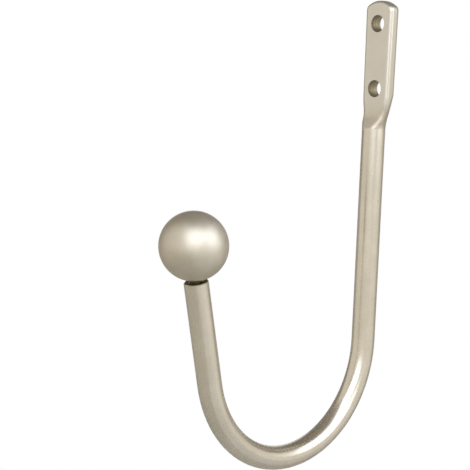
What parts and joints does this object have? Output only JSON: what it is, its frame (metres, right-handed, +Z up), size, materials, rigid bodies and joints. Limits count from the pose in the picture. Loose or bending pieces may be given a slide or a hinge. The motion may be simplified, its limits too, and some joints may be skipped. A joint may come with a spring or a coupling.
{
  "type": "curtain holdback",
  "caption": "J-shaped hook of round metal bar with a flattened, drilled wall end and a ball on its leaning arm; it holds a drawn curtain back at the side of a window.",
  "frame": {"origin": "on the wall face, midway between the centres of the two screw holes", "axes": "+Z up along the shank, +Y into the wall, so the hook stands out towards -Y; the J lies in the plane x = 0"},
  "size_m": [0.0222, 0.0969, 0.1575],
  "materials": {
    "satin_nickel": "steel with a satin nickel plating, warm grey",
    "zinc_steel": "zinc-plated steel thread"
  },
  "bodies": {
    "root": {"hook_bar": "satin_nickel", "ball_finial": "satin_nickel", "finial_stud": "zinc_steel"}
  },
  "joints": []
}
